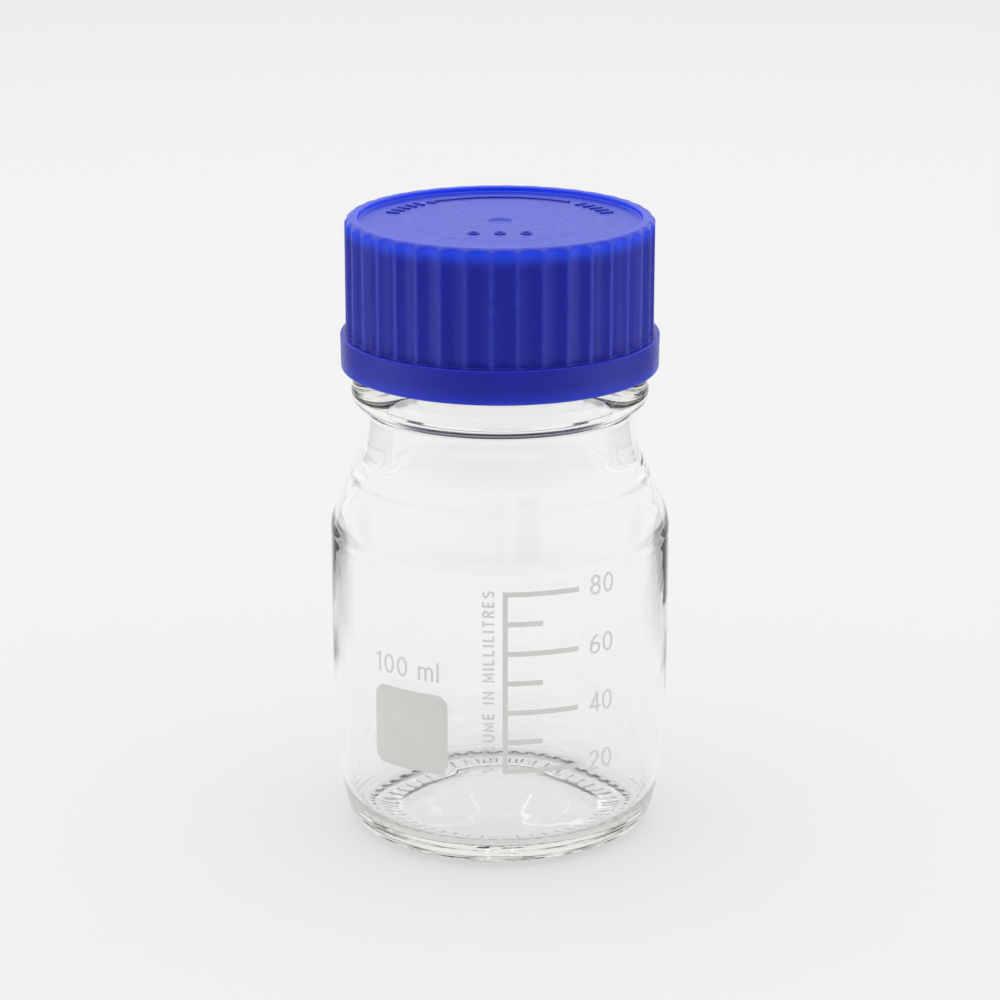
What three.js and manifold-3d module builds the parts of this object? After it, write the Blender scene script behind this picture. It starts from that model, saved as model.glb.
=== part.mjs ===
// A 100 ml laboratory reagent bottle with a GL 45 screw neck, a pouring ring and a ribbed screw cap.
// Millimetres, +Z up. The origin is the centre of the circle that the bottle stands on, and the
// printed scale faces -Y. The pieces are the glass, its two enamel prints, the pouring ring snapped
// on the mouth, the liner that seals it, and the cap that screws down over them.
import * as THREE from 'three';
import Module from 'manifold-3d';
import { mergeVertices } from 'three/addons/utils/BufferGeometryUtils.js';

const wasm = await Module();
wasm.setup();

// Roundness of every turned surface, and the size below which two vertices are one.
const SIDES = 48;
const WELD = 1e-4;

// Glass body.
const BODY_RADIUS = 28.0;
const WALL = 2.9;
const BASE_RADIUS = 23.3;
const HEEL_HEIGHT = 24.0;
const SHOULDER_START = 51.5;
const FLOOR_HEIGHT = 3.2;
const FLOOR_DOME = 1.4;
const INNER_HEEL_WIDTH = 7.0;
const INNER_HEEL_HEIGHT = 12.0;
const PUSH_UP = 2.2;
const BEARING_INNER_RADIUS = 20.4;
const PUSH_UP_SHOULDER_RADIUS = 16.4;

// Glass neck: the bead under the cap, the thread's root and the mouth.
const NECK_RADIUS = 21.9;
const BEAD_HEIGHT = 74.46;
const BEAD_CENTRE_RADIUS = 20.7;
const BEAD_REACH = 3.68;
const BEAD_HALF_HEIGHT = 3.24;
const ROOT_RADIUS = 20.9;
const MOUTH_HEIGHT = 99.3;
const BORE_RADIUS = 15.0;
const COLLAR_RADIUS = 19.6;
const COLLAR_START = 96.4;
const RIM_CHAMFER = 0.6;

// GL 45 thread, right-handed. A ridge starts a little inside its wall and narrows to its crest.
const THREAD_PITCH = 4.0;
const THREAD_EMBED = 0.3;
const THREAD_CREST_RADIUS = 22.3;
const THREAD_ROOT_WIDTH = 2.4;
const THREAD_CREST_WIDTH = 1.2;
const THREAD_START = 88.4;
const GLASS_TURNS = 1.75;
const CAP_TURNS = 1.5;
const CAP_THREAD_CREST_RADIUS = 21.5;
const CAP_THREAD_ROOT_WIDTH = 2.0;
const CAP_THREAD_CREST_WIDTH = 0.9;
const CAP_THREAD_DROP = 1.6;
const STEPS_PER_TURN = 24;
const RUN_OUT_TURNS = 0.08;

// Screw cap.
const TOTAL_HEIGHT = 103.25;
const FLANGE_BOTTOM = 78.5;
const FLANGE_TOP = 84.15;
const FLANGE_RADIUS = 26.06;
const FLANGE_CHAMFER = 0.3;
const FLUTES = 38;
const RIDGE_RADIUS = 25.14;
const FLUTE_DEPTH = 0.5;
const CAP_BORE_RADIUS = 22.9;
const CAP_EDGE = 0.4;
const LINER_SEAT_RADIUS = 21.5;
const LINER_SEAT_DEPTH = 1.4;
const TOP_PLATE = 1.05;
const RECESS_RADIUS = 23.1;
const RECESS_DEPTH = 0.9;
const GATE_RADIUS = 1.7;
const GATE_DEPTH = 0.4;

// Liner and pouring ring.
const LINER_RADIUS = 21.2;
const LINER_THICKNESS = 0.9;
const SEAL_GAP = 0.1;
const RING_BORE_RADIUS = 13.9;
const RING_OUTER_RADIUS = 21.1;
const RING_TOP = 100.2;
const RING_GAP = 0.2;

// Enamel prints, measured along the glass from the middle of its front.
const PRINT_GAP = 0.05;
const PRINT_THICKNESS = 0.1;
const PRINT_MARGIN = 0.04;
const PRINT_STEPS = 7;
const CORNER_STEPS = 5;
const FRONT = -Math.PI / 2;
const SCALE_BOTTOM = 18.15;
const SCALE_STEP = 5.0;
const SCALE_MARKS = 7;
const SCALE_LINE = 0.83;
const SCALE_LEFT = 0.41;
const LONG_MARK_END = 13.0;
const SHORT_MARK_END = 6.9;
const PANEL_LEFT = -22.4;
const PANEL_WIDTH = 13.85;
const PANEL_BOTTOM = 16.9;
const PANEL_HEIGHT = 13.6;
const PANEL_CORNER = 2.0;

const GLASS = new THREE.MeshStandardMaterial({
  color: 0xeef2f0, roughness: 0.03, metalness: 0, transparent: true, opacity: 0.35,
});
const CAP_BLUE = new THREE.MeshStandardMaterial({ color: 0x151f91, roughness: 0.4, metalness: 0 });
const RING_BLUE = new THREE.MeshStandardMaterial({ color: 0x2a46b4, roughness: 0.35, metalness: 0 });
const LINER_WHITE = new THREE.MeshStandardMaterial({ color: 0xe9e7e0, roughness: 0.6, metalness: 0 });
const ENAMEL = new THREE.MeshStandardMaterial({ color: 0xcbcbc6, roughness: 0.5, metalness: 0 });

// A geometry as a manifold solid: shared vertices merged, zero-area triangles at the axis dropped.
function toSolid(geometry) {
  const bare = geometry.clone();
  bare.deleteAttribute('normal');
  bare.deleteAttribute('uv');
  const merged = mergeVertices(bare, WELD);
  const corners = merged.index.array;
  const triangles = [];
  for (let i = 0; i < corners.length; i += 3) {
    const [a, b, c] = corners.slice(i, i + 3);
    if (a !== b && b !== c && c !== a) triangles.push(a, b, c);
  }
  return new wasm.Manifold(new wasm.Mesh({
    numProp: 3,
    vertProperties: new Float32Array(merged.attributes.position.array),
    triVerts: new Uint32Array(triangles),
  }));
}

function toGeometry(solid) {
  const mesh = solid.getMesh();
  const geometry = new THREE.BufferGeometry();
  geometry.setAttribute('position', new THREE.BufferAttribute(mesh.vertProperties, 3));
  geometry.setIndex(new THREE.BufferAttribute(mesh.triVerts, 1));
  geometry.computeVertexNormals();
  return geometry;
}

// A solid turned about Z from [radius, height] points that go up its outside. The outline
// starts and ends on the axis, or closes on itself.
function turned(points) {
  const outline = points.map(([radius, height]) => new THREE.Vector2(radius, height));
  return toSolid(new THREE.LatheGeometry(outline, SIDES).rotateX(Math.PI / 2));
}

// Points of an arc of an ellipse, from one angle to another in degrees.
function arc(centreRadius, centreHeight, reach, rise, from, to, steps) {
  const points = [];
  for (let i = 0; i <= steps; i += 1) {
    const angle = THREE.MathUtils.degToRad(from + (to - from) * i / steps);
    points.push([centreRadius + reach * Math.cos(angle), centreHeight + rise * Math.sin(angle)]);
  }
  return points;
}

// Points of a smooth line through a few [radius, height] knots.
function smooth(knots, steps) {
  const curve = new THREE.SplineCurve(knots.map(([radius, height]) => new THREE.Vector2(radius, height)));
  return curve.getPoints(steps).map((point) => [point.x, point.y]);
}

// The centre line of a thread ridge. Its radius sinks into the wall at both ends, and its frames
// keep the ridge's section upright and facing away from the axis.
class ThreadPath extends THREE.Curve {
  constructor(radius, start, turns, sink) {
    super();
    Object.assign(this, { radius, start, turns, sink });
  }

  getPoint(t, target = new THREE.Vector3()) {
    const angle = 2 * Math.PI * this.turns * t;
    const fromEnd = Math.min(t, 1 - t) * this.turns;
    const radius = this.radius - this.sink * (1 - THREE.MathUtils.smoothstep(fromEnd, 0, RUN_OUT_TURNS));
    const height = this.start + THREAD_PITCH * this.turns * t;
    return target.set(radius * Math.cos(angle), radius * Math.sin(angle), height);
  }

  computeFrenetFrames(segments) {
    const frames = { tangents: [], normals: [], binormals: [] };
    for (let i = 0; i <= segments; i += 1) {
      const point = this.getPointAt(i / segments);
      const outward = new THREE.Vector3(point.x, point.y, 0).normalize();
      const around = new THREE.Vector3(-outward.y, outward.x, 0);
      frames.tangents.push(around);
      frames.normals.push(outward);
      frames.binormals.push(around.clone().cross(outward));
    }
    return frames;
  }
}

// A thread ridge: a trapezoid from its root radius to its crest radius, swept along the helix.
function threadRidge(rootRadius, crestRadius, rootWidth, crestWidth, start, turns) {
  const reach = crestRadius - rootRadius;
  const section = new THREE.Shape([
    new THREE.Vector2(0, -rootWidth / 2),
    new THREE.Vector2(reach, -crestWidth / 2),
    new THREE.Vector2(reach, crestWidth / 2),
    new THREE.Vector2(0, rootWidth / 2),
  ]);
  const path = new ThreadPath(rootRadius, start, turns, reach);
  return toSolid(new THREE.ExtrudeGeometry(section, {
    steps: Math.round(turns * STEPS_PER_TURN), extrudePath: path,
  }));
}

// The blown glass: heel, wall, shoulder, neck, bead, threaded mouth, and the hollow inside.
function glassBottle() {
  const outside = [
    [0, PUSH_UP],
    [PUSH_UP_SHOULDER_RADIUS, PUSH_UP * 0.6],
    [BEARING_INNER_RADIUS, 0],
    ...arc(BASE_RADIUS, HEEL_HEIGHT, BODY_RADIUS - BASE_RADIUS, HEEL_HEIGHT, -90, 0, 7),
    ...smooth([
      [BODY_RADIUS, SHOULDER_START], [27.1, 55.4], [25.7, 58.0], [24.6, 60.6],
      [23.5, 63.0], [22.6, 66.0], [NECK_RADIUS, 71.2],
    ], 8),
    ...arc(BEAD_CENTRE_RADIUS, BEAD_HEIGHT, BEAD_REACH, BEAD_HALF_HEIGHT, -64, 86.9, 6),
    [ROOT_RADIUS, COLLAR_START],
    [COLLAR_RADIUS, COLLAR_START + 0.4],
    [COLLAR_RADIUS, MOUTH_HEIGHT - RIM_CHAMFER],
    [COLLAR_RADIUS - RIM_CHAMFER, MOUTH_HEIGHT],
  ];
  const innerRadius = BODY_RADIUS - WALL;
  const inside = [
    [BORE_RADIUS + RIM_CHAMFER, MOUTH_HEIGHT],
    [BORE_RADIUS, MOUTH_HEIGHT - RIM_CHAMFER],
    ...smooth([
      [BORE_RADIUS, 83.5], [16.0, 79.5], [18.7, 72.0], [19.4, 67.4],
      [21.7, 63.4], [22.7, 61.0], [24.2, 56.6], [innerRadius, SHOULDER_START],
    ], 8),
    ...arc(
      innerRadius - INNER_HEEL_WIDTH, FLOOR_HEIGHT + INNER_HEEL_HEIGHT,
      INNER_HEEL_WIDTH, INNER_HEEL_HEIGHT, 0, -90, 6,
    ),
    [0, FLOOR_HEIGHT + FLOOR_DOME],
  ];
  const thread = threadRidge(
    ROOT_RADIUS - THREAD_EMBED, THREAD_CREST_RADIUS, THREAD_ROOT_WIDTH, THREAD_CREST_WIDTH,
    THREAD_START, GLASS_TURNS,
  );
  return turned([...outside, ...inside]).add(thread);
}

// A blue plastic ring snapped over the mouth: a skirt down each side of the rim under a thin lip.
function pouringRing() {
  const innerSkirt = BORE_RADIUS - RING_GAP;
  const outerSkirt = COLLAR_RADIUS + RING_GAP;
  const skirtEnd = COLLAR_START + 0.7;
  const underside = MOUTH_HEIGHT + RING_GAP;
  return turned([
    [RING_BORE_RADIUS, skirtEnd],
    [innerSkirt, skirtEnd],
    [innerSkirt, underside],
    [outerSkirt, underside],
    [outerSkirt, skirtEnd],
    [RING_OUTER_RADIUS - 0.4, skirtEnd],
    [RING_OUTER_RADIUS, RING_TOP - 0.5],
    [RING_OUTER_RADIUS, RING_TOP],
    [innerSkirt - 0.4, RING_TOP],
    [RING_BORE_RADIUS, RING_TOP - 0.6],
    [RING_BORE_RADIUS, skirtEnd],
  ]);
}

// The flat disc that the cap presses on the pouring ring.
function capLiner() {
  const bottom = RING_TOP + SEAL_GAP;
  const top = bottom + LINER_THICKNESS;
  return turned([[0, bottom], [LINER_RADIUS, bottom], [LINER_RADIUS, top], [0, top]]);
}

// The cap's outline from above: hollow flutes that meet in sharp ridges.
function flutedOutline() {
  const outline = new THREE.Shape();
  const pitch = 2 * Math.PI / FLUTES;
  for (let i = 0; i < FLUTES; i += 1) {
    for (const part of [0, 0.25, 0.5, 0.75]) {
      const angle = (i + part) * pitch;
      const radius = RIDGE_RADIUS - FLUTE_DEPTH * 4 * part * (1 - part);
      const point = [radius * Math.cos(angle), radius * Math.sin(angle)];
      if (i === 0 && part === 0) outline.moveTo(...point);
      else outline.lineTo(...point);
    }
  }
  outline.closePath();
  return outline;
}

// The one-piece cap: fluted grip, smooth flange, recessed top, liner seat and inside thread.
function screwCap() {
  const gripBottom = FLANGE_TOP - 2;
  const gripHeight = TOTAL_HEIGHT - gripBottom - 2 * CAP_EDGE;
  const grip = toSolid(new THREE.ExtrudeGeometry(flutedOutline(), {
    depth: gripHeight,
    bevelThickness: CAP_EDGE,
    bevelSize: CAP_EDGE,
    bevelOffset: -CAP_EDGE,
    bevelSegments: 1,
  }).translate(0, 0, gripBottom + CAP_EDGE));
  const flange = turned([
    [0, FLANGE_BOTTOM],
    [FLANGE_RADIUS - FLANGE_CHAMFER, FLANGE_BOTTOM],
    [FLANGE_RADIUS, FLANGE_BOTTOM + FLANGE_CHAMFER],
    [FLANGE_RADIUS, FLANGE_TOP - FLANGE_CHAMFER],
    [FLANGE_RADIUS - FLANGE_CHAMFER, FLANGE_TOP],
    [0, FLANGE_TOP],
  ]);
  const recessFloor = TOTAL_HEIGHT - RECESS_DEPTH;
  const plateUnderside = recessFloor - TOP_PLATE;
  const below = FLANGE_BOTTOM - 1;
  const above = TOTAL_HEIGHT + 1;
  const cavity = turned([
    [0, below],
    [CAP_BORE_RADIUS, below],
    [CAP_BORE_RADIUS, plateUnderside - 2 * LINER_SEAT_DEPTH],
    [LINER_SEAT_RADIUS, plateUnderside - LINER_SEAT_DEPTH],
    [LINER_SEAT_RADIUS, plateUnderside],
    [0, plateUnderside],
  ]);
  const recess = turned([[0, recessFloor], [RECESS_RADIUS, recessFloor], [RECESS_RADIUS, above], [0, above]]);
  const gate = turned([
    [0, recessFloor - GATE_DEPTH],
    [GATE_RADIUS - GATE_DEPTH, recessFloor - GATE_DEPTH],
    [GATE_RADIUS, recessFloor + 0.1],
    [0, recessFloor + 0.1],
  ]);
  const thread = threadRidge(
    CAP_BORE_RADIUS + THREAD_EMBED, CAP_THREAD_CREST_RADIUS, CAP_THREAD_ROOT_WIDTH,
    CAP_THREAD_CREST_WIDTH, THREAD_START - CAP_THREAD_DROP, CAP_TURNS,
  );
  return grip.add(flange).subtract(cavity).subtract(recess).subtract(gate).add(thread);
}

// A curved enamel print just off the glass: a thin cylindrical band, between two distances along
// the glass, cut to shape by a flat prism. The outline's own distances run from the band's middle.
function print(left, right, bottom, top, outline) {
  const inner = BODY_RADIUS + PRINT_GAP;
  const outer = inner + PRINT_THICKNESS;
  const middle = FRONT + (left + right) / 2 / BODY_RADIUS;
  const half = (right - left) / 2 / BODY_RADIUS + PRINT_MARGIN;
  const shape = new THREE.Shape();
  shape.absarc(0, 0, outer, middle - half, middle + half, false);
  shape.absarc(0, 0, inner, middle + half, middle - half, true);
  shape.closePath();
  const band = new THREE.ExtrudeGeometry(shape, {
    depth: top - bottom + 2, bevelEnabled: false, curveSegments: PRINT_STEPS,
  }).translate(0, 0, bottom - 1);
  const prism = new THREE.ExtrudeGeometry(outline, {
    depth: 2 * BODY_RADIUS, bevelEnabled: false, curveSegments: CORNER_STEPS,
  }).rotateX(Math.PI / 2).rotateZ(middle - FRONT);
  return toSolid(band).intersect(toSolid(prism));
}

// Where a distance along the glass, from a print's middle, lies on the print's flat prism.
function flatten(distance) {
  return (BODY_RADIUS + PRINT_GAP) * Math.sin(distance / BODY_RADIUS);
}

// The volume scale: an upright line with a mark for every tenth of the volume, 20 to 80 ml.
function volumeScale() {
  const middle = (SCALE_LEFT + LONG_MARK_END) / 2;
  const half = SCALE_LINE / 2;
  const top = SCALE_BOTTOM + SCALE_STEP * (SCALE_MARKS - 1) + half;
  const left = flatten(SCALE_LEFT - middle);
  const inside = flatten(SCALE_LEFT + SCALE_LINE - middle);
  const comb = new THREE.Shape();
  comb.moveTo(left, top);
  comb.lineTo(left, SCALE_BOTTOM - half);
  for (let i = 0; i < SCALE_MARKS; i += 1) {
    const height = SCALE_BOTTOM + SCALE_STEP * i;
    const end = flatten((i % 2 === 0 ? LONG_MARK_END : SHORT_MARK_END) - middle);
    if (i > 0) comb.lineTo(inside, height - half);
    comb.lineTo(end, height - half);
    comb.lineTo(end, height + half);
    if (i < SCALE_MARKS - 1) comb.lineTo(inside, height + half);
  }
  comb.closePath();
  return print(SCALE_LEFT, LONG_MARK_END, SCALE_BOTTOM, top, comb);
}

// The round-cornered field for writing on.
function writingPanel() {
  const right = flatten(PANEL_WIDTH / 2) - PANEL_CORNER;
  const bottom = PANEL_BOTTOM + PANEL_CORNER;
  const top = PANEL_BOTTOM + PANEL_HEIGHT - PANEL_CORNER;
  const panel = new THREE.Shape();
  [[right, bottom], [right, top], [-right, top], [-right, bottom]].forEach(([x, z], i) => {
    const from = (i - 1) * Math.PI / 2;
    panel.absarc(x, z, PANEL_CORNER, from, from + Math.PI / 2, false);
  });
  panel.closePath();
  return print(PANEL_LEFT, PANEL_LEFT + PANEL_WIDTH, PANEL_BOTTOM, PANEL_BOTTOM + PANEL_HEIGHT, panel);
}

const bottle = new THREE.Group();
const pieces = [
  ['glass_bottle', glassBottle(), GLASS],
  ['volume_scale', volumeScale(), ENAMEL],
  ['writing_panel', writingPanel(), ENAMEL],
  ['pouring_ring', pouringRing(), RING_BLUE],
  ['cap_liner', capLiner(), LINER_WHITE],
  ['screw_cap', screwCap(), CAP_BLUE],
];
for (const [name, solid, material] of pieces) {
  const mesh = new THREE.Mesh(toGeometry(solid), material);
  mesh.name = name;
  bottle.add(mesh);
}

export default bottle;
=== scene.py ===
"""Looks for a 100 ml reagent bottle: clear blown glass, fired enamel prints and a fluted screw cap."""
import math
import bpy
import numpy as np
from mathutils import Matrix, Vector


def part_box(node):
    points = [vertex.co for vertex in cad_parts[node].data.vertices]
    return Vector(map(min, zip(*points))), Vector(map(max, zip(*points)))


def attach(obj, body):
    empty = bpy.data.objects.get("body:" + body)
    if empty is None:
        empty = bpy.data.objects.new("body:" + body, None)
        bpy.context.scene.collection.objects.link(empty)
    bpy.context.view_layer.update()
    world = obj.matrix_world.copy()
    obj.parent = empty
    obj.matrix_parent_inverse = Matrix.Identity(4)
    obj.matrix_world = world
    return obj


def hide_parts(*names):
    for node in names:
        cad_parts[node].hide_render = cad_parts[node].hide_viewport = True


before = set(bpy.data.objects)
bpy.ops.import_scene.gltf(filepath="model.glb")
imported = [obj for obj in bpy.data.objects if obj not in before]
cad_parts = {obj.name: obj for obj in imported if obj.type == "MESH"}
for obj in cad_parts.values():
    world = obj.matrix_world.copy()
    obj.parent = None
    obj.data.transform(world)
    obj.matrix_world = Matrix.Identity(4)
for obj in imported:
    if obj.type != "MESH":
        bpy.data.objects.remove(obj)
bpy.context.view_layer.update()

# Lengths below are in millimetres, as on a drawing, and MM turns them into metres.
MM = 0.001
TURN = 2 * math.pi

# The photograph's view: how far the camera stands off, how steeply it looks down, and at what height.
CAMERA_DISTANCE = 527.9
CAMERA_ELEVATION = math.radians(17.224)
TARGET_HEIGHT = 55.2
LENS = 114.62

# The studio, in metres. The sheet under the bottle glows as if lit from below: it glows a little more under
# the base, as painted light where the bottle's shade falls, fades far away, and loses SHADE_DIP of its glow
# in the middle of each dim patch. The bearings of the patches and cards are taken from FAN_EDGE to each side
# of the bottle's middle.
SHEET_REACH = 4.0
SHEET_GREY = 0.34
SHEET_GLOW = 0.515
SHEET_FADE = 0.05
UNDER_GLOW = 0.085
SHADE_DIP = 0.48
SHADE_BEARING = math.radians(35)
SHADE_DISTANCE = 0.145
FAN_EDGE = 0.026
FAN_STEPS = 12
CARD_GREY = 0.16
CARD_LIFT = 0.001
CARD_FRONT = -0.20

# Heights that the other pieces are built from, read from the CAD pieces they stand for.
GLASS_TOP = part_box("glass_bottle")[1].z / MM
BODY_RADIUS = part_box("glass_bottle")[1].x / MM
CAP_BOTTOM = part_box("screw_cap")[0].z / MM
CAP_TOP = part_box("screw_cap")[1].z / MM
FLANGE_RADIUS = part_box("screw_cap")[1].x / MM
RING_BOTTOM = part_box("pouring_ring")[0].z / MM
RING_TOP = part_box("pouring_ring")[1].z / MM
RING_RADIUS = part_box("pouring_ring")[1].x / MM
LINER_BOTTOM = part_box("cap_liner")[0].z / MM
LINER_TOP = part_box("cap_liner")[1].z / MM
LINER_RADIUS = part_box("cap_liner")[1].x / MM

# Glass. It stands on a ring whose underside has bars along its inner edge and pips along its outer one.
GLASS_IOR = 1.473
GLASS_SIDES = 528
WALL = 2.9
ROOT_RADIUS = 20.9
BORE_RADIUS = 15.0
COLLAR_RADIUS = 19.6
FOOT_INNER = 17.2
BAR_OUTER = 20.1
PIP_INNER = 21.9
FOOT_OUTER = 23.1
PIPS = 50
PIP_HEIGHT = 0.3
THREAD_PITCH = 4.0
THREAD_START = 88.4
GLASS_TURNS = 1.75
THREAD_DEPTH = 1.4

# Cap, with the generic marks on its top.
PLASTIC_IOR = 1.49
FLUTES = 38
CAP_SIDES = FLUTES * 16
FLUTE_SHIFT = 0.17
RIDGE_RADIUS = 25.14
FLUTE_DEPTH = 0.5
RIDGE_ROUNDING = 0.07
RIDGE_BEVEL = 0.35
FLANGE_TOP = 84.15
CAP_BORE_RADIUS = 22.9
CAP_THREAD_DEPTH = 1.4
CAP_THREAD_START = 86.8
CAP_TURNS = 1.5
RECESS_RADIUS = 23.1
RECESS_DEPTH = 0.9
MARK_RADIUS = 18.6
TICK_REACH = 1.1

# Small turned pieces.
SMALL_SIDES = 192
RING_BORE_RADIUS = 13.9


# ---------------------------------------------------------------- outlines

def line(start, end, step):
    """Points along a straight stretch, without its last one."""
    start, end = np.array(start, float), np.array(end, float)
    count = max(1, int(round(np.linalg.norm(end - start) / step)))
    return start + (end - start) * (np.arange(count) / count)[:, None]


def ellipse(centre, reach, rise, start, end, count):
    """Points of an elliptical arc between two angles in degrees, without its last one."""
    angle = np.radians(start + (end - start) * np.arange(count) / count)
    return np.stack([centre[0] + reach * np.cos(angle), centre[1] + rise * np.sin(angle)], 1)


def spline(knots, step):
    """Points of a smooth line through a few knots, without its last one."""
    knots = np.array(knots, float)
    ends = np.vstack([2 * knots[0] - knots[1], knots, 2 * knots[-1] - knots[-2]])
    parts = []
    for before, start, end, after in zip(ends, ends[1:], ends[2:], ends[3:]):
        count = max(2, int(round(np.linalg.norm(end - start) / step)))
        t = (np.arange(count) / count)[:, None]
        parts.append(0.5 * (
            2 * start + (end - before) * t
            + (2 * before - 5 * start + 4 * end - after) * t ** 2
            + (3 * start - before - 3 * end + after) * t ** 3
        ))
    return np.vstack(parts)


def rounded(corners, step):
    """Points along straight stretches whose corners, given as (x, y, rounding), are rounded off."""
    spots = [np.array(corner[:2], float) for corner in corners]
    points = [spots[0][None]]
    for i in range(1, len(corners) - 1):
        rounding = corners[i][2]
        back = spots[i - 1] - spots[i]
        ahead = spots[i + 1] - spots[i]
        enter = spots[i] + back * min(0.5, rounding / np.linalg.norm(back))
        leave = spots[i] + ahead * min(0.5, rounding / np.linalg.norm(ahead))
        points.append(line(points[-1][-1], enter, step)[1:])
        t = np.linspace(0, 1, 7)[:, None]
        points.append((1 - t) ** 2 * enter + 2 * t * (1 - t) * spots[i] + t ** 2 * leave)
    points.append(line(points[-1][-1], spots[-1], step)[1:])
    points.append(spots[-1][None])
    return np.vstack(points)


def smoothstep(low, high, value):
    """0 below low and 1 above high, with a smooth rise between them, or a fall where low is the higher."""
    t = np.clip((value - low) / (high - low), 0, 1)
    return t * t * (3 - 2 * t)


# ---------------------------------------------------------------- meshes

def make_mesh(name, vertices, faces, material, smooth=True):
    """A new object in the scene from vertices in metres."""
    mesh = bpy.data.meshes.new(name)
    mesh.from_pydata(vertices, [], faces)
    mesh.validate()
    mesh.polygons.foreach_set("use_smooth", [smooth] * len(mesh.polygons))
    mesh.materials.append(material)
    piece = bpy.data.objects.new(name, mesh)
    bpy.context.scene.collection.objects.link(piece)
    return piece


def turned(name, radii, heights, material, closed=False, **attributes):
    """A closed skin round Z from rings of radius and height, in mm, one column for each side.

    The outline goes up the outside. It starts and ends on the axis, or closes on itself.
    Each further argument is a number at every point, stored for the material to read."""
    rings, sides = radii.shape
    angle = np.arange(sides) * TURN / sides
    points = np.stack([radii * np.cos(angle), radii * np.sin(angle), heights], -1) * MM
    index = np.arange(rings * sides).reshape(rings, sides)
    if not closed:
        index[0] = 0
        index[-1] = index[-1, 0]
    below = index if closed else index[:-1]
    above = np.roll(index, -1, 0) if closed else index[1:]
    quads = np.stack([below, np.roll(below, -1, 1), np.roll(above, -1, 1), above], -1).reshape(-1, 4)
    used, renumbered = np.unique(quads, return_inverse=True)
    faces = [list(dict.fromkeys(quad)) for quad in renumbered.reshape(-1, 4).tolist()]
    piece = make_mesh(name, points.reshape(-1, 3)[used].tolist(), faces, material)
    for key, values in attributes.items():
        stored = piece.data.attributes.new(key, "FLOAT", "POINT")
        stored.data.foreach_set("value", values.reshape(-1)[used].astype(np.float32))
    return piece


def spread(outline, sides):
    """An outline's radii and heights, repeated for every side."""
    return (np.repeat(outline[:, :1], sides, 1), np.repeat(outline[:, 1:], sides, 1))


def thread_rise(heights, start, turns, half_width):
    """How far up its flank, from 0 to 1, a thread ridge stands at each ring and side."""
    sides = heights.shape[1]
    part = np.arange(sides) / sides
    rise = np.zeros_like(heights)
    for whole in range(int(turns) + 1):
        along = part + whole
        middle = start + THREAD_PITCH * along
        fade = smoothstep(0, 0.08, np.minimum(along, turns - along))
        flank = 1 - smoothstep(0.42, 1.0, np.abs(heights - middle) / half_width)
        rise = np.maximum(rise, flank * fade)
    return rise


# ---------------------------------------------------------------- materials

def new_material(name):
    """A material, its node tree and its shader."""
    material = bpy.data.materials.new(name)
    material.use_nodes = True
    tree = material.node_tree
    return material, tree, tree.nodes["Principled BSDF"]


def add(tree, kind, **settings):
    """A new node, with its properties set, or its inputs where the name is an input's."""
    node = tree.nodes.new(kind)
    for key, value in settings.items():
        if hasattr(node, key):
            setattr(node, key, value)
        else:
            node.inputs[key.replace("_", " ")].default_value = value
    return node


def object_noise(tree, scale, detail=3.0, roughness=0.5):
    """Noise fixed to the object, scale in features per metre."""
    place = add(tree, "ShaderNodeTexCoord")
    noise = add(tree, "ShaderNodeTexNoise", Scale=scale, Detail=detail, Roughness=roughness)
    tree.links.new(place.outputs["Object"], noise.inputs["Vector"])
    return noise


def ramp(tree, source, low, high, at_low=0.0, at_high=1.0):
    """A colour or a number that runs from low to high while its source runs between two values."""
    span = add(tree, "ShaderNodeMapRange", clamp=True)
    span.inputs["From Min"].default_value = at_low
    span.inputs["From Max"].default_value = at_high
    tree.links.new(source, span.inputs["Value"])
    if not hasattr(low, "__len__"):
        span.inputs["To Min"].default_value = low
        span.inputs["To Max"].default_value = high
        return span.outputs["Result"]
    mix = add(tree, "ShaderNodeMix", data_type="RGBA")
    mix.inputs["A"].default_value = (*low, 1)
    mix.inputs["B"].default_value = (*high, 1)
    tree.links.new(span.outputs["Result"], mix.inputs["Factor"])
    for socket in mix.outputs:
        if socket.type == "RGBA":
            return socket


def add_bump(tree, shader, source, distance, strength=1.0):
    """A relief of a source's height, distance in metres."""
    bump = add(tree, "ShaderNodeBump", Strength=strength, Distance=distance)
    tree.links.new(source, bump.inputs["Height"])
    tree.links.new(bump.outputs["Normal"], shader.inputs["Normal"])


def mottled(tree, patches, low, high):
    """A colour that drifts between two, with a number of patches per metre."""
    cloud = object_noise(tree, patches, 4.0)
    return ramp(tree, cloud.outputs["Fac"], low, high, 0.3, 0.7)


def set_sheen(tree, shader, grain, smoothest, roughest):
    """A roughness that follows a noise between two values."""
    sheen = ramp(tree, grain.outputs["Fac"], smoothest, roughest, 0.3, 0.7)
    tree.links.new(sheen, shader.inputs["Roughness"])


def set_translucent(shader, weight, radius, reach):
    """Light that spreads inside a plastic: how much, how far for each colour, and a reach in mm."""
    shader.inputs["Subsurface Weight"].default_value = weight
    shader.inputs["Subsurface Radius"].default_value = radius
    shader.inputs["Subsurface Scale"].default_value = reach * MM


def glass_material():
    """Clear borosilicate glass with a faint warm tint and the slow ripple of a blown surface."""
    material, tree, shader = new_material("clear_glass")
    shader.inputs["Base Color"].default_value = (1.0, 1.0, 1.0, 1)
    shader.inputs["Roughness"].default_value = 0.0
    shader.inputs["IOR"].default_value = GLASS_IOR
    shader.inputs["Transmission Weight"].default_value = 1.0
    ripple = object_noise(tree, 140, 2.0)
    add_bump(tree, shader, ripple.outputs["Fac"], 0.03 * MM)
    tint = add(tree, "ShaderNodeVolumeAbsorption", Color=(0.9, 0.9, 0.85, 1), Density=26.0)
    tree.links.new(tint.outputs["Volume"], tree.nodes["Material Output"].inputs["Volume"])
    return material


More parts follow.
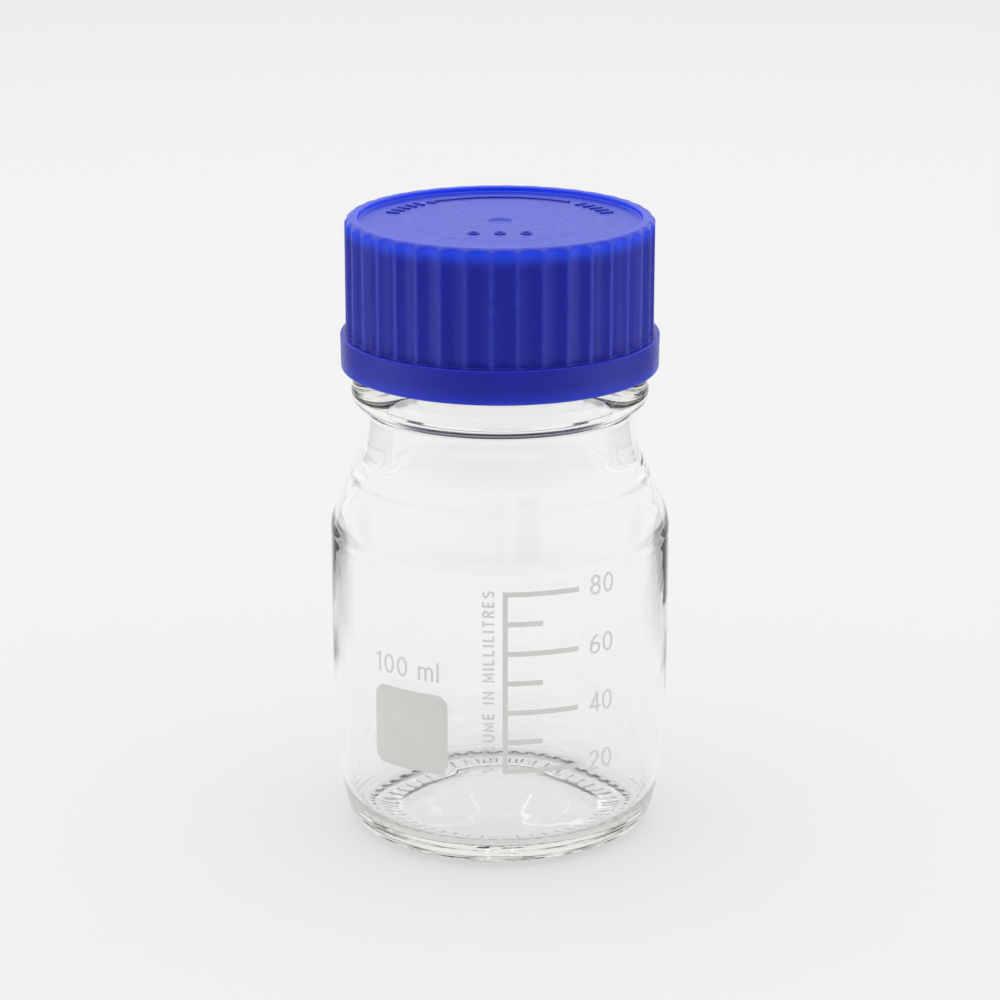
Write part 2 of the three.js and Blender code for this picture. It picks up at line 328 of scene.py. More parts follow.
def cap_material():
    """Satin blue polypropylene, translucent and fine grained, with a brighter blue painted in as glow at its
    edges and top and a patchy painted highlight along its ridges.
    """
    material, tree, shader = new_material("cap_polypropylene")
    body = mottled(tree, 90, (0.0022, 0.0080, 0.370), (0.0040, 0.0115, 0.430))
    # Painted glow: a brighter blue mixed into the colour by the shell's glow mask, in place of light coming
    # through the plastic.
    thin = add(tree, "ShaderNodeAttribute", attribute_name="thin")
    glow = add(tree, "ShaderNodeMix", data_type="RGBA")
    tree.links.new(thin.outputs["Fac"], glow.inputs["Factor"])
    tree.links.new(body, glow.inputs[6])
    glow.inputs[7].default_value = (0.006, 0.075, 0.95, 1)
    # Painted highlight: a lighter blue mixed into the colour along the grip's ridges, in patches from a
    # noise that also varies the roughness.
    ridge_highlight = add(tree, "ShaderNodeAttribute", attribute_name="wear")
    scuffs_and_highlight_patches = object_noise(tree, 900, 5.0, 0.7)
    patchy = calculate(tree, "MULTIPLY", ridge_highlight.outputs["Fac"], scuffs_and_highlight_patches.outputs["Fac"])
    mix = add(tree, "ShaderNodeMix", data_type="RGBA")
    tree.links.new(patchy, mix.inputs["Factor"])
    tree.links.new(glow.outputs[2], mix.inputs[6])
    mix.inputs[7].default_value = (0.045, 0.075, 0.55, 1)
    tree.links.new(mix.outputs[2], shader.inputs["Base Color"])
    set_sheen(tree, shader, scuffs_and_highlight_patches, 0.30, 0.42)
    shader.inputs["IOR"].default_value = PLASTIC_IOR
    shader.inputs["Specular IOR Level"].default_value = 0.5
    set_translucent(shader, 0.7, (0.2, 0.45, 1.0), 3.0)
    grain = object_noise(tree, 2600, 3.0)
    add_bump(tree, shader, grain.outputs["Fac"], 0.012 * MM, 0.5)
    return material


def ring_material():
    """Smooth blue polypropylene, glossier and lighter than the cap."""
    material, tree, shader = new_material("ring_polypropylene")
    body = mottled(tree, 120, (0.010, 0.035, 0.36), (0.016, 0.050, 0.44))
    tree.links.new(body, shader.inputs["Base Color"])
    grain = object_noise(tree, 1800, 3.0)
    set_sheen(tree, shader, grain, 0.2, 0.3)
    shader.inputs["IOR"].default_value = PLASTIC_IOR
    set_translucent(shader, 0.3, (0.25, 0.4, 1.0), 1.2)
    add_bump(tree, shader, grain.outputs["Fac"], 0.008 * MM, 0.5)
    return material


def liner_material():
    """Off-white elastomer with a dull, slightly mottled face."""
    material, tree, shader = new_material("liner_elastomer")
    body = mottled(tree, 200, (0.70, 0.68, 0.62), (0.80, 0.78, 0.72))
    tree.links.new(body, shader.inputs["Base Color"])
    grain = object_noise(tree, 2200, 4.0)
    set_sheen(tree, shader, grain, 0.5, 0.65)
    set_translucent(shader, 0.2, (1.0, 0.9, 0.7), 1.0)
    add_bump(tree, shader, grain.outputs["Fac"], 0.01 * MM, 0.6)
    return material


def enamel_material():
    """Pale grey fired enamel: a frit layer of little thickness with a fine grain and a few uneven patches.
    """
    material, tree, shader = new_material("fired_enamel")
    body = mottled(tree, 220, (0.76, 0.76, 0.73), (0.80, 0.80, 0.77))
    tree.links.new(body, shader.inputs["Base Color"])
    grain = object_noise(tree, 5200, 3.0)
    set_sheen(tree, shader, grain, 0.38, 0.55)
    shader.inputs["Specular IOR Level"].default_value = 0.3
    add_bump(tree, shader, grain.outputs["Fac"], 0.006 * MM, 0.6)
    return material


def dull_material(name, grey):
    """A grey studio surface without gloss."""
    material, tree, shader = new_material(name)
    shader.inputs["Base Color"].default_value = (grey, grey, grey, 1)
    shader.inputs["Roughness"].default_value = 0.9
    shader.inputs["Specular IOR Level"].default_value = 0.0
    return material, tree, shader


def set_glow(tree, shader, strength):
    """White light from a surface, of a strength that another node gives."""
    shader.inputs["Emission Color"].default_value = (1, 1, 1, 1)
    tree.links.new(strength, shader.inputs["Emission Strength"])


def sheet_material():
    """White acrylic glowing as if lit from below, with painted light under the bottle's base where its shade
    falls, fading far away.
    """
    material, tree, shader = dull_material("studio_sheet", SHEET_GREY)
    place = add(tree, "ShaderNodeTexCoord")
    distance = add(tree, "ShaderNodeVectorMath", operation="LENGTH")
    tree.links.new(place.outputs["Object"], distance.inputs[0])
    glow = ramp(tree, distance.outputs["Value"], SHEET_GLOW, SHEET_GLOW - SHEET_FADE, 0.6, 1.1)
    # Painted light: extra glow under the base, where the bottle's shade falls.
    under = ramp(tree, distance.outputs["Value"], UNDER_GLOW, 0.0, 0.017, 0.024)
    set_glow(tree, shader, calculate(tree, "ADD", glow, under))
    return material


def calculate(tree, operation, first, second=None):
    """A Math node's output. Each of its inputs is a number or another node's output."""
    node = add(tree, "ShaderNodeMath", operation=operation)
    for i, value in enumerate((first, second)):
        if isinstance(value, (int, float)):
            node.inputs[i].default_value = value
        elif value is not None:
            tree.links.new(value, node.inputs[i])
    return node.outputs["Value"]


def shade_material():
    """The lit sheet with one soft dim patch on each side, behind the bottle's edges."""
    material, tree, shader = dull_material("studio_shade", SHEET_GREY)
    place = add(tree, "ShaderNodeNewGeometry")
    axes = add(tree, "ShaderNodeSeparateXYZ")
    tree.links.new(place.outputs["Position"], axes.inputs["Vector"])
    across = calculate(tree, "SUBTRACT", calculate(tree, "ABSOLUTE", axes.outputs["X"]), FAN_EDGE)
    back = axes.outputs["Y"]
    bearing = calculate(tree, "ARCTAN2", across, back)
    squares = [calculate(tree, "MULTIPLY", value, value) for value in (across, back)]
    distance = calculate(tree, "SQRT", calculate(tree, "ADD", *squares))
    off_bearing = calculate(tree, "ABSOLUTE", calculate(tree, "SUBTRACT", bearing, SHADE_BEARING))
    off_distance = calculate(tree, "ABSOLUTE", calculate(tree, "SUBTRACT", distance, SHADE_DISTANCE))
    across_it = ramp(tree, off_bearing, 1.0, 0.0, math.radians(6), math.radians(16))
    along_it = ramp(tree, off_distance, 1.0, 0.0, 0.025, 0.075)
    dip = calculate(tree, "MULTIPLY", calculate(tree, "MULTIPLY", across_it, along_it), SHADE_DIP)
    set_glow(tree, shader, calculate(tree, "SUBTRACT", SHEET_GLOW, dip))
    return material


# ---------------------------------------------------------------- the studio

def make_camera():
    """The camera at the photograph's distance, height and slope."""
    data = bpy.data.cameras.new("camera")
    data.lens = LENS
    data.sensor_width = 36.0
    data.clip_start = 0.01
    camera = bpy.data.objects.new("camera", data)
    away = Vector((0, -math.cos(CAMERA_ELEVATION), math.sin(CAMERA_ELEVATION)))
    camera.location = Vector((0, 0, TARGET_HEIGHT * MM)) + away * CAMERA_DISTANCE * MM
    camera.rotation_euler = (math.radians(90) - CAMERA_ELEVATION, 0, 0)
    bpy.context.scene.collection.objects.link(camera)
    bpy.context.scene.camera = camera


def area_light(name, place, aim, size, watts):
    """A white rectangular lamp aimed at a point."""
    data = bpy.data.lights.new(name, "AREA")
    data.shape = "RECTANGLE"
    data.size, data.size_y = size
    data.energy = watts
    lamp = bpy.data.objects.new(name, data)
    lamp.location = place
    lamp.rotation_euler = (Vector(aim) - Vector(place)).to_track_quat("-Z", "Y").to_euler()
    bpy.context.scene.collection.objects.link(lamp)


def make_world():
    """A soft white surround that is bright above and behind the bottle, and dim in front of it."""
    world = bpy.data.worlds.new("studio")
    world.use_nodes = True
    bpy.context.scene.world = world
    tree = world.node_tree
    slope = math.radians(35)
    direction = add(tree, "ShaderNodeTexCoord")
    facing = add(tree, "ShaderNodeVectorMath", operation="DOT_PRODUCT")
    facing.inputs[1].default_value = (0, math.cos(slope), math.sin(slope))
    tree.links.new(direction.outputs["Generated"], facing.inputs[0])
    level = ramp(tree, facing.outputs["Value"], 0.08, 0.95, -0.75, -0.05)
    tree.links.new(level, tree.nodes["Background"].inputs["Strength"])
    tree.nodes["Background"].inputs["Color"].default_value = (1.0, 1.0, 1.0, 1)


def studio_card(name, corners, material, through_glass):
    """A flat card on the floor that only gloss shows, and glass too if it's said. It casts no shadow."""
    vertices = [(x, y, CARD_LIFT) for x, y in corners]
    card = make_mesh(name, vertices, [list(range(len(corners)))], material)
    card.visible_camera = False
    card.visible_diffuse = False
    card.visible_shadow = False
    card.visible_transmission = through_glass


def fan(side, start, end, near, far):
    """Corners of a fan behind the bottle's edge, between two bearings in degrees and two distances."""
    bearings = [math.radians(start + (end - start) * i / FAN_STEPS) for i in range(FAN_STEPS + 1)]
    inner = [(side * (FAN_EDGE + near * math.sin(b)), near * math.cos(b)) for b in bearings]
    outer = [(side * (FAN_EDGE + far * math.sin(b)), far * math.cos(b)) for b in reversed(bearings)]
    return (inner + outer)[::-side]


def make_studio():
    """A pale lit floor, with cards on it that only the bottle's glass and gloss show."""
    reach = SHEET_REACH
    floor = [(-reach, -reach, 0), (reach, -reach, 0), (reach, reach, 0), (-reach, reach, 0)]
    make_mesh("studio_sheet", floor, [(0, 1, 2, 3)], sheet_material())
    grey = dull_material("studio_grey", CARD_GREY)[0]
    front = [(-reach, -reach), (reach, -reach), (reach, CARD_FRONT), (-reach, CARD_FRONT)]
    studio_card("card_front", front, grey, through_glass=False)
    shade = shade_material()
    for side, name in ((-1, "left"), (1, "right")):
        studio_card(f"fan_{name}", fan(side, 17, 53, 0.06, 0.23), shade, through_glass=True)
        studio_card(f"card_{name}", fan(side, 34, 80, 0.235, 1.2), grey, through_glass=False)
    make_world()
    area_light("overhead", place=(0, 0.15, 1.5), aim=(0, 0, 0), size=(1.8, 1.8), watts=8)
    for side in (-1, 1):
        place = (side * 0.085, 1.5, 0.76)
        watts = 0.014 + 0.004 * side
        area_light(f"window_{side}", place, aim=(0, 0, 0.05), size=(0.013, 0.33), watts=watts)


# ---------------------------------------------------------------- the glass

def rippled(outline, depth, length, top):
    """A line with fine waves across it, which fade out at its start and below a height."""
    step = np.gradient(outline, axis=0)
    step /= np.linalg.norm(step, axis=1)[:, None]
    along = np.cumsum(np.linalg.norm(np.diff(outline, axis=0, prepend=outline[:1]), axis=1))
    wave = depth * np.clip(top - outline[:, 1], 0, 1) * np.clip(along / 0.8, 0, 1)
    wave *= np.sin(TURN * along / length + 0.4 * np.sin(1.7 * along))
    return outline + wave[:, None] * np.stack([step[:, 1], -step[:, 0]], 1)


def glass_outline():
    """The glass section in mm: up the outside from the base's middle, then down the inside."""
    foot_start = (FOOT_INNER, PIP_HEIGHT)
    foot_end = (FOOT_OUTER, PIP_HEIGHT)
    outside = np.vstack([
        spline([(0, 1.2), (6, 1.1), (10, 0.9), (13.5, 0.65), (15.8, 0.46), (16.7, 0.36), foot_start], 0.5),
        line(foot_start, foot_end, 0.28),
        rippled(spline([
            foot_end, (24.3, 0.62), (25.15, 1.55), (25.75, 3.0), (26.35, 5.2),
            (26.95, 8.2), (27.45, 12.0), (27.82, 17.5), (28.0, 24.0),
        ], 0.2), 0.03, 1.5, 5.0),
        line((BODY_RADIUS, 24.0), (BODY_RADIUS, 50.0), 1.3),
        spline([
            (BODY_RADIUS, 50.0), (27.95, 52.2), (27.1, 55.2), (25.75, 58.0), (24.85, 60.0),
            (24.55, 61.2), (23.7, 62.6), (22.95, 64.2), (22.4, 67.0), (22.0, 70.4), (22.1, 71.9),
            (22.6, 72.55),
        ], 0.3),
        spline([(22.6, 72.55), (23.3, 72.75), (23.9, 73.1), (24.25, 73.75), (24.38, 74.6)], 0.12),
        ellipse((20.7, 74.46), 3.68, 3.24, 3, 84, 26),
        rounded([
            (21.1, 77.68), (ROOT_RADIUS, 77.85, 0.15), (ROOT_RADIUS, 96.4, 0.3),
            (COLLAR_RADIUS, 96.8, 0.3), (COLLAR_RADIUS, GLASS_TOP, 0.7), (17.6, GLASS_TOP),
        ], 0.16),
    ])
    inner = BODY_RADIUS - WALL
    inside = np.vstack([
        rounded([(17.5, GLASS_TOP), (BORE_RADIUS, GLASS_TOP, 0.8), (BORE_RADIUS, 86.0)], 0.5),
        spline([
            (BORE_RADIUS, 85.6), (15.6, 81.0), (17.0, 76.6), (18.2, 73.0), (18.8, 70.0), (19.2, 67.3),
            (19.6, 65.3), (20.3, 63.5), (21.2, 61.9), (22.1, 60.2), (23.0, 58.4), (24.2, 56.2),
            (25.2, 54.2), (25.75, 52.4), (25.8, 50.6), (25.7, 48.5), (25.6, 45.0), (25.5, 40.0),
            (25.4, 33.0), (25.25, 25.0), (inner, 17.0),
        ], 0.35),
        spline([
            (inner, 17.0), (25.1, 10.5), (24.9, 7.6), (24.2, 5.3), (22.8, 3.9), (20.5, 3.2),
            (15.5, 3.0), (10.0, 3.4), (5.0, 3.8), (0, 3.9),
        ], 0.5),
        [(0, 3.9)],
    ])
    return outside, inside


def glass_ripple(angle, height, seed):
    """A slow uneven drift of blown glass, about -1 to 1, round the bottle and up it."""
    chance = np.random.default_rng(seed)
    total = np.zeros(np.broadcast(angle, height).shape)
    for lobes in range(1, 7):
        phase, tilt, wave = chance.uniform(0, TURN, 3)
        drift = 1.3 * np.sin(height * 0.09 * lobes ** 0.5 + wave)
        lean = 2 * np.sin(angle + phase)
        total = total + np.sin(lobes * angle + phase + drift) / lobes
        total = total + 0.4 * np.sin(height * (0.11 + 0.07 * lobes) + tilt + lean) / lobes
    return total / 2.6


def make_glass(material):
    """The bottle: its section turned, with the neck's thread, the foot's bars and pips, and slow ripples."""
    outside, inside = glass_outline()
    radii, heights = spread(np.vstack([outside, inside]), GLASS_SIDES)
    angle = np.arange(GLASS_SIDES) * TURN / GLASS_SIDES
    count = len(outside)

    outer_r, outer_z = radii[:count], heights[:count]
    neck = (outer_z > 80) & (outer_z < 97.5)
    outer_r += neck * THREAD_DEPTH * thread_rise(outer_z, THREAD_START, GLASS_TURNS, 1.25)
    bars = smoothstep(FOOT_INNER, FOOT_INNER + 0.5, outer_r)
    bars *= smoothstep(BAR_OUTER, BAR_OUTER - 0.5, outer_r)
    pips = smoothstep(PIP_INNER, PIP_INNER + 0.4, outer_r)
    pips *= smoothstep(FOOT_OUTER, FOOT_OUTER - 0.4, outer_r)
    on_ring = (bars + 0.5 * pips) * (outer_z < 0.5)
    pip = smoothstep(0.35, 0.85, 0.5 + 0.5 * np.cos(PIPS * angle))
    outer_z -= on_ring * pip * PIP_HEIGHT
    under = smoothstep(19.0, 17.0, outer_r) * (outer_z < 3)
    outer_z += under * 0.015 * glass_ripple(2 * angle, outer_r * 9, 3)

    inner_r, inner_z = radii[count:], heights[count:]
    strength = smoothstep(86, 76, inner_z) * smoothstep(3, 12, inner_z)
    strength *= 0.10 + 0.14 * smoothstep(48, 62, inner_z)
    inner_r += strength * glass_ripple(angle, inner_z, 7)
    floor = smoothstep(24, 20, inner_r) * (inner_z < 6)
    inner_z += floor * 0.03 * glass_ripple(angle, inner_r * 3.2, 11)

    glass = turned("bottle_glass", radii, heights, material)
    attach(glass, "bottle")
    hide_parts("glass_bottle")


# ---------------------------------------------------------------- the prints

PRINT_LIFT = 0.01
PRINT_THICKNESS = 0.035
SCALE_BOTTOM = 18.15
SCALE_STEP = 5.0
SCALE_MARKS = 7
SCALE_LINE = 0.83
SCALE_LEFT = 0.41
LONG_MARK_END = 13.0
SHORT_MARK_END = 6.9
PANEL_LEFT = -22.4
PANEL_RIGHT = -8.55
PANEL_CORNER = 2.1
STROKE = 0.11
LETTER_WIDTH = 1.08
NUMBER_HEIGHT = 3.35
NUMBER_DROP = 1.45
NUMBER_WEIGHT = 0.108
CAPTION_WEIGHT = 0.17


def wrap(points, lift):
    """Places (distance along the glass, height, further lift), in mm, on the glass, in metres."""
    points = np.asarray(points, float)
    angle = points[:, 0] / BODY_RADIUS
    radius = BODY_RADIUS + lift + (points[:, 2] if points.shape[1] > 2 else 0)
    return np.stack([radius * np.sin(angle), -radius * np.cos(angle), points[:, 1]], 1) * MM


def printed(name, points, faces, material, node=None):
    """A closed film of enamel on the glass from a flat layout in mm of points and faces."""
    count = len(points)
    edges = {}
    for face in faces:
        for a, b in zip(face, face[1:] + face[:1]):
            edges[(a, b)] = True
    skin = [list(face) for face in faces]
    skin += [[a + count for a in reversed(face)] for face in faces]
    skin += [[b, a, a + count, b + count] for a, b in edges if (b, a) not in edges]
    outer = wrap(points, PRINT_LIFT + PRINT_THICKNESS)
    inner = wrap(points, PRINT_LIFT)
    film = make_mesh(name, np.vstack([outer, inner]).tolist(), skin, material, smooth=False)
    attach(film, "bottle")
    if node:
        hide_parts(node)


def make_scale(material):
    """The scale as a grid of cells: an upright line with a long or short mark at every step."""
    half = SCALE_LINE / 2
    levels = []
    for i in range(SCALE_MARKS):
        middle = SCALE_BOTTOM + SCALE_STEP * i
        levels += [middle - half, middle + half]
    line_right = SCALE_LEFT + SCALE_LINE
    columns = [SCALE_LEFT, line_right, *np.linspace(line_right, LONG_MARK_END, 19)[1:]]
    short_end = min(range(len(columns)), key=lambda k: abs(columns[k] - SHORT_MARK_END))
    columns[short_end] = SHORT_MARK_END
    points = [(x, z) for z in levels for x in columns]
    width = len(columns)
    faces = []
    for row in range(len(levels) - 1):
        if row % 2:
            last = 1
        else:
            last = width - 1 if row % 4 == 0 else short_end
        for column in range(last):
            corner = row * width + column
            faces.append([corner, corner + 1, corner + 1 + width, corner + width])
    printed("volume_scale_print", points, faces, material, "volume_scale")


def make_panel(material):
    """The writing field: strips between the top and bottom of a round-cornered square."""
    low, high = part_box("writing_panel")
    bottom, top = low.z / MM, high.z / MM
    left, right = PANEL_LEFT, PANEL_RIGHT
    corner = PANEL_CORNER
    columns = np.concatenate([
        left + corner * (1 - np.cos(np.linspace(0, math.pi / 2, 9))),
        np.linspace(left + corner, right - corner, 16)[1:-1],
        right - corner * (1 - np.cos(np.linspace(math.pi / 2, 0, 9))),
    ])
    inset = np.maximum(0, corner - np.minimum(columns - left, right - columns))
    cut = corner - np.sqrt(np.maximum(0, corner ** 2 - inset ** 2))
    points = [(x, bottom + c) for x, c in zip(columns, cut)] + [(x, top - c) for x, c in zip(columns, cut)]
    width = len(columns)
    faces = [[k, k + 1, k + 1 + width, k + width] for k in range(width - 1)]
    printed("writing_panel_print", points, faces, material, "writing_panel")


def arc(centre, reach, rise, start, end, count=14):
    """Points of an elliptical arc between two angles in degrees, with both its ends."""
    angle = np.radians(np.linspace(start, end, count))
    return [(centre[0] + reach * math.cos(a), centre[1] + rise * math.sin(a)) for a in angle]


def glyph_strokes():
    """Each character's width and its strokes' middle lines, with capitals one unit high."""
    h = STROKE / 2
    ring = [*arc((0.28, 0.5), 0.28 - h, 0.5 - h, 0, 360, 33)]
    return {
        " ": (0.22, []),
        "0": (0.56, [ring]),
        "1": (0.36, [[(0.03, 0.78), (0.25, 0.93), (0.25, 0)]]),
        "2": (0.56, [[*arc((0.27, 0.72), 0.22, 0.225, 170, -35), (0.06, h), (0.55, h)]]),
        "4": (0.60, [[(0.42, 0.98), (0.07, 0.27), (0.60, 0.27)], [(0.43, 0), (0.43, 0.98)]]),
        "6": (0.56, [
            arc((0.28, 0.30), 0.225, 0.245, 0, 360, 29),
            arc((0.52, 0.32), 0.465, 0.63, 180, 104, 12),
        ]),
        "8": (0.56, [
            arc((0.28, 0.745), 0.19, 0.20, 0, 360, 25),
            arc((0.28, 0.285), 0.225, 0.235, 0, 360, 29),
        ]),
        "m": (0.74, [
            [(h, 0), (h, 0.72)], [*arc((0.215, 0.50), 0.16, 0.165, 180, 0, 11), (0.375, 0)],
            [*arc((0.535, 0.50), 0.16, 0.165, 180, 0, 11), (0.695, 0)],
        ]),
        "l": (STROKE, [[(h, 0), (h, 1)]]),
        "E": (0.48, [
            [(h, 0), (h, 1)], [(h, 1 - h), (0.46, 1 - h)],
            [(h, 0.5), (0.42, 0.5)], [(h, h), (0.46, h)],
        ]),
        "I": (STROKE, [[(h, 0), (h, 1)]]),
        "L": (0.47, [[(h, 1), (h, h), (0.45, h)]]),
        "M": (0.72, [[(h, 0), (h, 0.94), (0.36, 0.22), (0.665, 0.94), (0.665, 0)]]),
        "N": (0.60, [[(h, 0), (h, 0.93), (0.545, 0.07), (0.545, 1)]]),
        "O": (0.68, [arc((0.34, 0.5), 0.28, 0.445, 0, 360, 33)]),
        "R": (0.54, [
            [(h, 0), (h, 1 - h), (0.28, 1 - h), *arc((0.28, 0.72), 0.19, 0.225, 80, -80, 9), (h, 0.495)],
            [(0.27, 0.495), (0.49, 0)],
        ]),
        "S": (0.54, [[
            *arc((0.27, 0.735), 0.20, 0.21, 25, 262, 14),
            *arc((0.27, 0.275), 0.215, 0.225, 82, -155, 14),
        ]]),
        "T": (0.54, [[(0, 1 - h), (0.54, 1 - h)], [(0.27, 0), (0.27, 1)]]),
        "U": (0.60, [[
            (h, 1), (h, 0.32), *arc((0.30, 0.32), 0.245, 0.27, 190, 350, 11), (0.545, 0.32), (0.545, 1),
        ]]),
        "V": (0.60, [[(0.03, 1), (0.30, 0.06), (0.57, 1)]]),
    }


def ribbon(points, width):
    """The two edges of a stroke of even width along a line of points, mitred at its bends."""
    points = np.asarray(points, float)
    ring = np.allclose(points[0], points[-1])
    step = np.diff(points, axis=0)
    step /= np.linalg.norm(step, axis=1)[:, None]
    before = np.vstack([step[-1:] if ring else step[:1], step])
    after = np.vstack([step, step[:1] if ring else step[-1:]])
    across = before + after
    across = np.stack([-across[:, 1], across[:, 0]], 1)
    across /= np.linalg.norm(across, axis=1)[:, None]
    normal = np.stack([-after[:, 1], after[:, 0]], 1)
    reach = width / 2 / np.maximum(0.45, (across * normal).sum(1))
    return points - across * reach[:, None], points + across * reach[:, None]


def make_lettering(name, text, left, bottom, height, width, weight, material, upright=False):
    """Generic numbers or a caption in enamel strokes, spaced to fill a width along the glass."""
    glyphs = glyph_strokes()
    wide = height * LETTER_WIDTH
    gap = (width / wide - sum(glyphs[c][0] for c in text)) / (len(text) - 1)
    points, faces, cursor, lift = [], [], 0.0, 0.0
    for character in text:
        advance, strokes = glyphs[character]
        for stroke in strokes:
            lift = 0.003 - lift
            lower, upper = ribbon(stroke, weight)
            first = len(points)
            count = len(lower)
            for x, y in np.vstack([lower, upper]) * (wide, height):
                x += cursor * wide
                place = (left + height - y, bottom + x) if upright else (left + x, bottom + y)
                points.append((*place, lift))
            for k in range(first, first + count - 1):
                faces.append([k, k + 1, k + 1 + count, k + count])
        cursor += advance + gap
    printed(name, points, faces, material)


def make_prints(material):
    """Everything printed on the glass. Each number stands beside its long mark."""
    make_scale(material)
    make_panel(material)
    height, weight = NUMBER_HEIGHT, NUMBER_WEIGHT
    for i, volume in enumerate((20, 40, 60, 80)):
        bottom = SCALE_BOTTOM + 2 * SCALE_STEP * i - NUMBER_DROP
        make_lettering(f"number_{volume}", str(volume), 15.1, bottom, height, 4.55, weight, material)
    make_lettering("number_100_ml", "100 ml", -22.3, 32.65, height, 12.3, weight, material)
    make_lettering(
        "scale_caption", "VOLUME IN MILLILITRES", -2.78, 17.9, 1.83, 30.8, CAPTION_WEIGHT, material,
        upright=True,
    )


# ---------------------------------------------------------------- the cap and what it holds

def cap_outline():
    """The cap's section in mm: from the middle of its underside, down the bore, and up to the top."""
    recess = CAP_TOP - RECESS_DEPTH
    under = recess - 1.05
    return rounded([
        (0, under), (21.5, under, 0.25), (21.5, under - 1.4, 0.4), (CAP_BORE_RADIUS, under - 2.8, 0.5),
        (CAP_BORE_RADIUS, CAP_BOTTOM, 0.35), (FLANGE_RADIUS - 0.1, CAP_BOTTOM, 0.45),
        (FLANGE_RADIUS, FLANGE_TOP, 0.3), (RIDGE_RADIUS, FLANGE_TOP, 0.2),
        (RIDGE_RADIUS, CAP_TOP, 0.75), (RECESS_RADIUS, CAP_TOP, 0.3), (RECESS_RADIUS - 0.1, recess, 0.35),
        (15.2, recess, 0.5), (14.6, recess + 0.05, 0.5), (2.1, recess + 0.05, 0.3),
        (1.6, recess - 0.3, 0.3), (0.8, recess - 0.2, 0.4), (0.0, recess - 0.2),
    ], 0.17)


def make_cap(material):
    """The cap: its section turned, with the grip's flutes and the inside thread cut in."""
    outline = cap_outline()
    radii, heights = spread(outline, CAP_SIDES)
    angle = np.arange(CAP_SIDES) * TURN / CAP_SIDES
    rim = int(np.argmax(outline[:, 0]))
    past_rim = (np.arange(len(outline)) > rim)[:, None]

    part = (angle * FLUTES / TURN - FLUTE_SHIFT) % 1
    from_ridge = np.sqrt(np.minimum(part, 1 - part) ** 2 + RIDGE_ROUNDING ** 2) - RIDGE_ROUNDING
    hollow = 4 * from_ridge * (1 - from_ridge)
    is_grip = past_rim & (heights > FLANGE_TOP - 0.3)
    reach = smoothstep(RIDGE_RADIUS - 1.4, RIDGE_RADIUS - 0.4, radii)
    reach *= 1 - smoothstep(RIDGE_RADIUS, RIDGE_RADIUS + 0.35, radii)
    radii -= is_grip * reach * FLUTE_DEPTH * hollow
    at_edge = is_grip * smoothstep(RIDGE_RADIUS - 0.9, RIDGE_RADIUS - 0.1, radii)
    heights -= at_edge * smoothstep(CAP_TOP - 1.6, CAP_TOP, heights) * RIDGE_BEVEL * (1 - hollow)

    is_bore = (np.arange(len(outline)) < rim) & (outline[:, 0] < CAP_BORE_RADIUS + 0.1)
    is_bore &= outline[:, 1] < CAP_TOP - 4
    radii -= is_bore[:, None] * CAP_THREAD_DEPTH * thread_rise(heights, CAP_THREAD_START, CAP_TURNS, 1.05)

    # Painted glow: a brighter blue painted into the colour where light would come through the plastic: the
    # grip's top, the flange's lower edge, the recess's wall and, more faintly, the whole top.
    on_side = past_rim & (radii > RECESS_RADIUS + 1.2)
    edge = 0.9 * on_side * smoothstep(CAP_TOP - 3.8, CAP_TOP - 0.6, heights) ** 1.3
    edge *= 1 - 0.8 * smoothstep(CAP_TOP - 0.45, CAP_TOP - 0.15, heights + RIDGE_BEVEL * at_edge)
    band = 0.3 * (radii > FLANGE_RADIUS - 0.3) * smoothstep(CAP_BOTTOM + 3.0, CAP_BOTTOM, heights)
    recess_wall = 0.8 * (np.abs(radii - RECESS_RADIUS) < 0.25) * (heights > CAP_TOP - 1)
    face = 0.3 * past_rim * smoothstep(CAP_TOP - 1.6, CAP_TOP - 1.0, heights)
    # Painted highlight: the ridge mask stored below lightens the grip's ridges in the colour.
    cap = turned(
        "cap_shell", radii, heights, material,
        thin=np.maximum.reduce([edge, band, recess_wall, face]),
        wear=is_grip * reach * smoothstep(0.72, 1.0, 1 - hollow),
    )
    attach(cap, "cap")
    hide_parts("screw_cap")


def relief(name, lines, width, material):
    """Raised lines on top of the cap, each a half-round bead along points (x, y) in mm."""
    level = CAP_TOP - RECESS_DEPTH
    section = [(-0.5, -0.10), (0.5, -0.10), (0.44, 0.16), (0.25, 0.26), (-0.25, 0.26), (-0.44, 0.16)]
    vertices, faces = [], []
    for points in lines:
        lower, upper = ribbon(points, width)
        first, count, ring = len(vertices), len(lower), len(section)
        for low, high in zip(lower, upper):
            for along, rise in section:
                x, y = (low + high) / 2 + (high - low) * along
                vertices.append((x * MM, y * MM, (level + rise) * MM))
        for k in range(count - 1):
            for j in range(ring):
                a, b = first + k * ring + j, first + k * ring + (j + 1) % ring
                faces.append([a, a + ring, b + ring, b])
        faces.append([first + j for j in range(ring)])
        faces.append([first + (count - 1) * ring + j for j in reversed(range(ring))])
    piece = make_mesh(name, vertices, faces, material, smooth=False)
    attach(piece, "cap")


